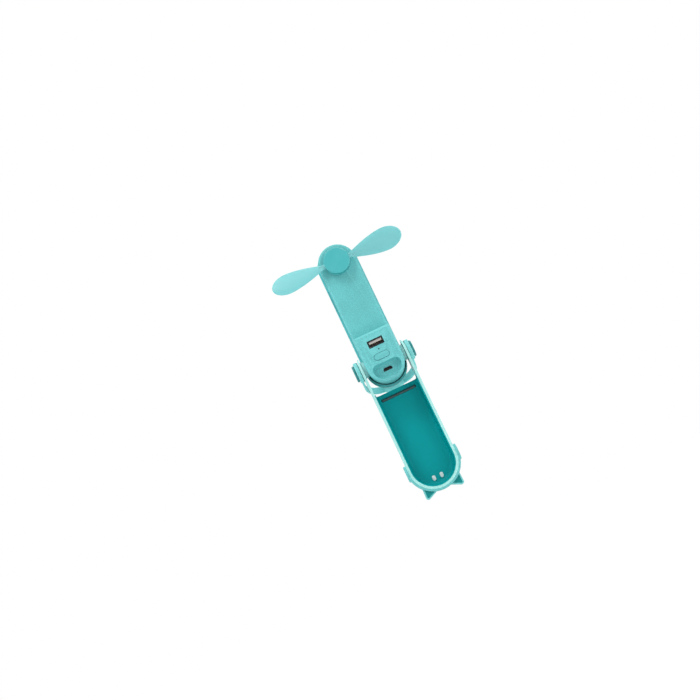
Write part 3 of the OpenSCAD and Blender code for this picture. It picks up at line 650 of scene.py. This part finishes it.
def make_shade_rings():
    """Dark rings of painted shade in the narrow gaps of the pivot joints, at the cover's tail and round the
    button.
    """
    for side, sign in (("l", -1), ("r", 1)):
        bm = bmesh.new()
        # Three dark rings of painted shade in the gaps of the pivot.
        for x0, x1, r0, r1 in ((19.12, 19.38, 7.02, 7.5), (21.5, 21.78, 5.5, 8.6),
                               (25.22, 25.48, 4.0, 7.1)):
            pts = [(sign * x * MM, r * MM) for x, r in
                   ((x0, r0), (x0, r1 - 0.1), (x0 + 0.05, r1), (x1 - 0.05, r1),
                    (x1, r1 - 0.1), (x1, r0))]
            ring_of(bm, pts, (0, 0, PIVOT_Z))
        add_object("knob_gap_shade_" + side, bm, "handle", "black_plastic", mat="painted_gap_shade")
    # Dark strip of painted shade along the seam at the cover's tail.
    bm = bmesh.new()
    rows = []
    z_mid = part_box("rear_housing")[0][2] + 16.5 * MM
    y_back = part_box("front_cover")[0][1]
    for i in range(65):
        a = math.radians(-4 - 172 * i / 64)
        k = min(1, i / 5, (64 - i) / 5)
        out = (16.5 + 0.95 * k) * MM
        inner = 16.45 * MM
        y0, y1 = y_back - (0.15 + 0.5 * k) * MM, y_back + 0.02 * MM
        rows.append([Vector((r * math.cos(a), y, z_mid + r * math.sin(a)))
                     for y, r in ((y0, inner), (y0, out - 0.1 * MM), (y0 + 0.1 * MM, out),
                                  (y1, out), (y1, inner))])
    grid = ring_faces(bm, rows)
    cap_ends(bm, grid)
    add_object("tail_gap_shade", bm, "fan_body", "black_plastic", mat="painted_gap_shade")
    # Dark ring of painted shade in the gap round the power button.
    low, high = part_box("power_button")
    cx, cz = (low[0] + high[0]) / 2, PIVOT_Z + 3.4 * MM
    bm = bmesh.new()
    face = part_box("rear_housing")[0][1]
    rows = []
    steps = 72
    half_t, span = 2.55 * MM, (13.1 - 5.1) / 2 * MM
    for i in range(steps):
        a = 2 * math.pi * i / steps
        c, s = math.cos(a), math.sin(a)
        shift = math.copysign(span, c) if abs(c) > 1e-9 else 0.0
        row = []
        for y, out in ((0.30, 0.06), (0.22, 0.09), (0.22, 0.23), (0.30, 0.27), (0.9, 0.27),
                       (0.9, 0.06)):
            r = half_t + out * MM
            row.append(Vector((cx + shift + r * c, face + y * MM, cz + r * s)))
        rows.append(row)
    ring_faces(bm, rows + [rows[0]])
    bmesh.ops.remove_doubles(bm, verts=bm.verts, dist=1e-7)
    add_object("button_gap_shade", bm, "fan_body", "black_plastic", mat="painted_gap_shade")


def rounded_bar(bm, centre, size, edge):
    """A small block with rounded edges, used for contacts and tabs."""
    made = bmesh.ops.create_cube(bm, size=1)
    verts = made["verts"]
    for v in verts:
        v.co = Vector(centre) + Vector((v.co.x * size[0], v.co.y * size[1], v.co.z * size[2]))
    edges = list({e for v in verts for e in v.link_edges})
    bmesh.ops.bevel(bm, geom=edges, offset=edge, segments=2, affect="EDGES", profile=0.6)


def make_contacts():
    low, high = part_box("usb_a_tongue")
    z_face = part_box("usb_a_shell")[0][2] + (5.7 - 0.35 - 2.3) * MM
    bm = bmesh.new()
    for x in (-3.5, -1.0, 1.0, 3.5):
        rounded_bar(bm, (x * MM, low[1] + 4.2 * MM, z_face - 0.06 * MM),
                    (1.0 * MM, 7.4 * MM, 0.22 * MM), 0.07 * MM)
    add_object("usb_contacts", bm, "fan_body", "bronze", mat="contact_gold")
    low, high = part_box("micro_usb_tongue")
    bm = bmesh.new()
    for i in range(5):
        x = (-1.3 + 0.65 * i) * MM
        rounded_bar(bm, (x, low[1] + 1.7 * MM, low[2] - 0.02 * MM),
                    (0.25 * MM, 3.0 * MM, 0.12 * MM), 0.03 * MM)
    add_object("micro_contacts", bm, "fan_body", "bronze", mat="contact_gold")


turned(M["hub_teal"], 0.75)
make_camera()
make_world()
make_floor()
centre = (0, 0, 0.06)
area_light("key", (-0.5, -1.1, 1.7), centre, 0.7, 12, (1.0, 0.99, 0.97))
area_light("fill", (0.9, -1.5, 0.3), centre, 1.1, 3, (0.97, 0.99, 1.0))
area_light("rim", (0.5, 1.3, 1.1), centre, 0.9, 6)
area_light("side_l", (-1.3, -0.12, 0.15), centre, 0.7, 4.5)
area_light("side_r", (1.3, -0.12, 0.15), centre, 0.7, 4.5)
area_light("floor_wash", (0, 0, 1.6), (0, 0, -0.34), 1.8, 6)
bpy.context.scene.view_settings.view_transform = "Standard"

dress_nodes()
make_blade("leaf_a", "blade_a", False)
make_blade("leaf_b", "blade_b", True)
make_strap()
make_bead()
make_bumpers()
make_shade_rings()
make_contacts()
for node, width, body in (
    ("handle_shell", 0.45 * MM, "handle"), ("ear_band", 0.6 * MM, "handle"),
    ("rear_housing", 0.3 * MM, "fan_body"), ("front_cover", 0.25 * MM, "fan_body"),
    ("power_button", 0.35 * MM, "power_button"), ("hub_base", 0.3 * MM, "rotor"),
    ("hub_cap", 0.25 * MM, "rotor"), ("usb_a_shell", 0.1 * MM, "fan_body"),
):
    soften(node, width, body)
